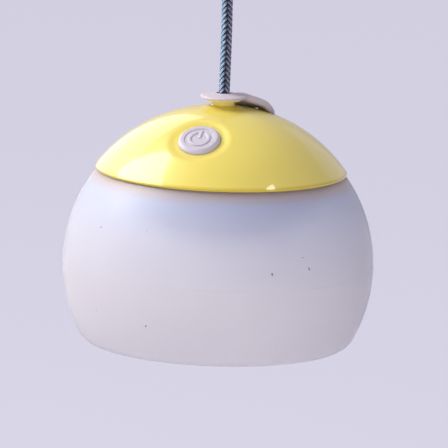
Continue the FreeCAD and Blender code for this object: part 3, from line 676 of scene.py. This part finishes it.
def braid(name, spots, diameter, body):
    """Sixteen flat strands, eight each way, laid in long slanting rows round a core.

    Each face's kind is its place in CORD_MATERIALS, and lift is 0 under and 1 on top, where the yarn
    paints shade and light.
    """
    strands, pitch = 8, 15.0 * MM
    radius, wave = 0.355 * diameter, 0.07 * diameter
    half_wide, half_thick = 0.094 * diameter, 0.078 * diameter
    crest = math.radians(152)
    places, line, ahead, side = resampled(spots, 0.45 * MM)
    other = np.cross(ahead, side)
    turns = np.radians(np.arange(0, 360, 36))
    points, faces, kinds, across, lifts = [], [], [], [], []
    for way in (1, -1):
        for strand in range(strands):
            theta = way * 2 * math.pi * places / pitch + 2 * math.pi * strand / strands
            over = way * np.cos(2 * (theta - crest))
            lift = radius + wave * over
            out = np.cos(theta)[:, None] * side + np.sin(theta)[:, None] * other
            middle = line + out * lift[:, None]
            along = np.gradient(middle, axis=0)
            along /= np.linalg.norm(along, axis=1)[:, None]
            wide = np.cross(along, out)
            wide /= np.linalg.norm(wide, axis=1)[:, None]
            up = np.cross(wide, along)
            first = len(points)
            for index in range(len(places)):
                for turn in turns:
                    points.append(middle[index] + wide[index] * (half_wide * math.cos(turn))
                                  + up[index] * (half_thick * math.sin(turn)))
                    across.append((places[index] / diameter, turn / (2 * math.pi)))
                    lifts.append(0.5 + 0.5 * over[index])
            faces += tube_faces(first, len(places), len(turns))
            kinds += [0 if way == 1 else 1] * (len(faces) - len(kinds))
    # the core, with lift 0 and its near-black yarn, is painted shade between the strands
    first = len(points)
    core = radius * 0.93
    ring = np.radians(np.arange(0, 360, 30))
    for index in range(len(places)):
        for turn in ring:
            out = math.cos(turn) * side[index] + math.sin(turn) * other[index]
            points.append(line[index] + core * out)
            across.append((places[index] / diameter, turn / (2 * math.pi)))
            lifts.append(0.0)
    faces += tube_faces(first, len(places), len(ring))
    kinds += [2] * (len(faces) - len(kinds))
    thing = piece(name, points, faces, body)
    outwards(thing)
    layer = thing.data.uv_layers.new(name="strand")
    coordinates = np.array(across)[[loop.vertex_index for loop in thing.data.loops]]
    layer.data.foreach_set("uv", coordinates.ravel())
    thing.data.attributes.new("lift", "FLOAT", "POINT").data.foreach_set("value", lifts)
    for material in CORD_MATERIALS:
        thing.data.materials.append(material)
    thing.data.polygons.foreach_set("material_index", kinds)
    return thing


def make_cord():
    """The hanging cord from its stopper, through the neck, to the tied loop."""
    loop_radius, hang = 15.0, -FOOT / MM
    loop_centre = hang + CORD / 2 - loop_radius
    corner = loop_radius / math.cos(math.radians(22.5))
    loop = [(corner * math.cos(math.radians(a)), 0, loop_centre + corner * math.sin(math.radians(a)))
            for a in np.arange(-22.5, 210, 45)]
    route = [(0, 0, 77.4), (0.36, 0.11, 106), (0, 0, 122), (1.2, 0, KNOT - 1), (2.4, 0, KNOT + 3.5)]
    route += loop + [(-2.4, 0, KNOT + 3.5), (-0.9, 0, KNOT + 0.2)]
    spots = spline_points("cord_route", route)
    cord = braid("hanging_cord", spots, CORD * MM, "lantern")
    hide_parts("cord_main", "cord_loop")
    turns = [(4.1 * math.cos(a), 4.1 * math.sin(a), KNOT - 4.2 + 8.4 * share)
             for share in np.linspace(0, 1, 40) for a in (share * 2 * math.pi * 2.4,)]
    knot = braid("cord_knot", [metres(*spot) for spot in turns], CORD * MM, "lantern")
    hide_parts("loop_knot")
    tail_spots = spline_points("tail_route", [(-3.5, -1.0, KNOT + 0.5), (-9, -1.5, KNOT + 0.6),
                                              (-14.5, -1.0, KNOT - 2.2)])
    tail = braid("cord_end", tail_spots, CORD * MM, "lantern")
    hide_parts("cord_tail")


# ---------------------------------------------------------------- CAD nodes

def dress_nodes():
    """Gives the CAD pieces that stay in view, or behind the frosted wall, their materials."""
    finishes = {
        "housing": plain_plastic("housing_plastic", linear(116, 134, 188), linear(108, 126, 180), 0.4),
        "lens": Shader("clear_lens", Base_Color=(0.95, 0.97, 1, 1), Roughness=0.08, IOR=1.49,
                       Transmission_Weight=0.9).material,
        "white": plain_plastic("reflector_white", linear(240, 240, 238), linear(232, 232, 232), 0.25),
        "board": plain_plastic("circuit_board", linear(24, 92, 52), linear(18, 80, 44), 0.35),
        "phosphor": plain_plastic("led_phosphor", linear(250, 214, 110), linear(244, 204, 96), 0.3),
        "wrap": plain_plastic("cell_wrap", linear(44, 92, 150), linear(38, 82, 140), 0.3),
        "black": plain_plastic("black_plastic", linear(34, 34, 36), linear(28, 28, 30), 0.45),
        "steel": plain_plastic("plated_steel", linear(190, 190, 190), linear(176, 176, 176), 0.3,
                               Metallic=1.0),
        "red": plain_plastic("lead_red", linear(176, 30, 26), linear(160, 24, 22), 0.4),
        "core": CORD_MATERIALS[0],
    }
    choice = {
        "inner_housing": "housing", "led_lens": "lens", "led_reflector": "white", "led_board": "board",
        "led_emitters": "phosphor", "battery_cell": "wrap", "battery_tray": "black",
        "battery_tab_positive": "steel", "battery_tab_negative": "steel", "main_board": "board",
        "board_components": "black", "usb_socket_shell": "steel", "usb_socket_tongue": "black",
        "switch_plunger": "black", "tact_switch_body": "black", "switch_board": "board",
        "housing_screws": "steel", "main_board_screws": "steel", "led_board_screws": "steel",
        "tray_screws": "steel", "switch_board_screws": "steel", "battery_lead_red": "red",
        "battery_lead_black": "black", "led_lead_red": "red", "led_lead_black": "black",
        "switch_leads": "black", "cord_washer": "steel", "cord_stopper_knot": "core",
    }
    for node, finish in choice.items():
        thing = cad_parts[node]
        thing.data.materials.clear()
        thing.data.materials.append(finishes[finish])


# ---------------------------------------------------------------- studio

VIEW_AZIMUTH = math.radians(17)
VIEW_ELEVATION = math.radians(10.2)
VIEW_ROLL = math.radians(2.0)
VIEW_DISTANCE = 2.5
VIEW_CENTRE = (1.62, 1.61)      # how far right of and above the aim the view is centred, in mm
LENS, SENSOR = 583.6, 36
FLOOR_DEPTH = 0.22              # metres below the foot, since the lantern hangs


UPWARDS = (0, 0, 1)


def area_light(name, size, power, colour, spot, target, seen_in, along):
    """A rectangular soft box facing the target, seen as fill, in gloss (reflections), or both."""
    light = bpy.data.lights.new(name, "AREA")
    light.shape = "RECTANGLE"
    light.size, light.size_y = size
    light.energy = power
    light.color = colour
    thing = bpy.data.objects.new(name, light)
    bpy.context.scene.collection.objects.link(thing)
    thing.visible_glossy = seen_in != "fill"
    thing.visible_diffuse = thing.visible_transmission = seen_in != "gloss"
    back = (Vector(spot) - Vector(target)).normalized()
    side = Vector(along).cross(back).normalized()
    turn = Matrix((side, back.cross(side), back)).transposed().to_4x4()
    thing.matrix_world = Matrix.Translation(spot) @ turn


def around(azimuth, elevation, distance):
    """A place round the lantern: azimuth 0 is in front (-Y), 90 is at +X."""
    a, e = math.radians(azimuth), math.radians(elevation)
    return metres(0, 0, 50) + distance * Vector((math.sin(a) * math.cos(e), -math.cos(a) * math.cos(e),
                                                 math.sin(e)))


def make_studio():
    """Pale surroundings and the soft boxes. Some only fill and some only show in reflections."""
    world = bpy.data.worlds.new("studio")
    world.use_nodes = True
    background = world.node_tree.nodes["Background"]
    background.inputs["Color"].default_value = linear(226, 224, 240)
    background.inputs["Strength"].default_value = 0.62
    bpy.context.scene.world = world
    target, white, rosy = metres(0, 0, 45), (1, 0.99, 0.975), (1, 0.86, 0.86)
    # the upright edge of the key's reflection, which lies slanting on the dome
    slant = (0.665, -0.308, 0.685)
    # name, size, power, colour, azimuth, elevation, distance, what sees it, direction of its height
    for name, size, power, colour, azimuth, elevation, distance, seen_in, along in (
            ("key_left", (1.0, 1.0), 26, white, -84, 45, 1.5, "fill", UPWARDS),
            ("key_reflection", (0.55, 0.62), 6.8, white, -86, 43, 1.0, "gloss", slant),
            ("back_reflection", (0.9, 0.9), 3.9, white, -130, 22, 1.2, "gloss", UPWARDS),
            ("right_reflection", (0.6, 0.6), 0.28, rosy, 165, 15, 1.2, "gloss", UPWARDS),
            ("front_low", (0.9, 0.2), 4.3, (1, 0.98, 1), 5, -8, 1.1, "fill", UPWARDS),
            ("small_window", (0.11, 0.05), 0.2, (1, 1, 1), 82, 54, 1.0, "both", UPWARDS)):
        spot = around(azimuth, elevation, distance)
        area_light(name, size, power, colour, spot, target, seen_in, along)


def make_camera():
    """A long lens in front, a little to the right and above, slightly rolled."""
    right = Vector((math.cos(VIEW_AZIMUTH), math.sin(VIEW_AZIMUTH), 0))
    back = Vector((math.sin(VIEW_AZIMUTH) * math.cos(VIEW_ELEVATION),
                   -math.cos(VIEW_AZIMUTH) * math.cos(VIEW_ELEVATION), math.sin(VIEW_ELEVATION)))
    up = back.cross(right)
    aim = metres(0, 0, 40) + right * VIEW_CENTRE[0] * MM + up * VIEW_CENTRE[1] * MM
    camera = bpy.data.cameras.new("camera")
    camera.sensor_width = SENSOR
    camera.lens = LENS
    camera.clip_start, camera.clip_end = 0.1, 20
    thing = bpy.data.objects.new("camera", camera)
    bpy.context.scene.collection.objects.link(thing)
    facing = Matrix((right, up, back)).transposed().to_4x4()
    roll = Matrix.Rotation(VIEW_ROLL, 4, "Z")
    thing.matrix_world = Matrix.Translation(aim + back * VIEW_DISTANCE) @ facing @ roll
    bpy.context.scene.camera = thing


def make_floor():
    """A plain pale floor. Most of its brightness is its own glow, which keeps it even all over."""
    radius, count = 7.0, 96
    points = [(radius * math.cos(a), radius * math.sin(a), FOOT - FLOOR_DEPTH) for a in even(count)]
    floor = piece("floor", points, [tuple(range(count))], None)
    made = Shader("floor", Base_Color=linear(92, 90, 98), Roughness=0.9, Specular_IOR_Level=0.1,
                  Emission_Color=linear(211, 208, 225), Emission_Strength=0.88)
    floor.data.materials.append(made.material)


make_camera()
make_cord()
make_shade()
make_cap()
make_button()
make_port_cover()
dress_nodes()
make_floor()
make_studio()
bpy.context.scene.view_settings.view_transform = "Standard"
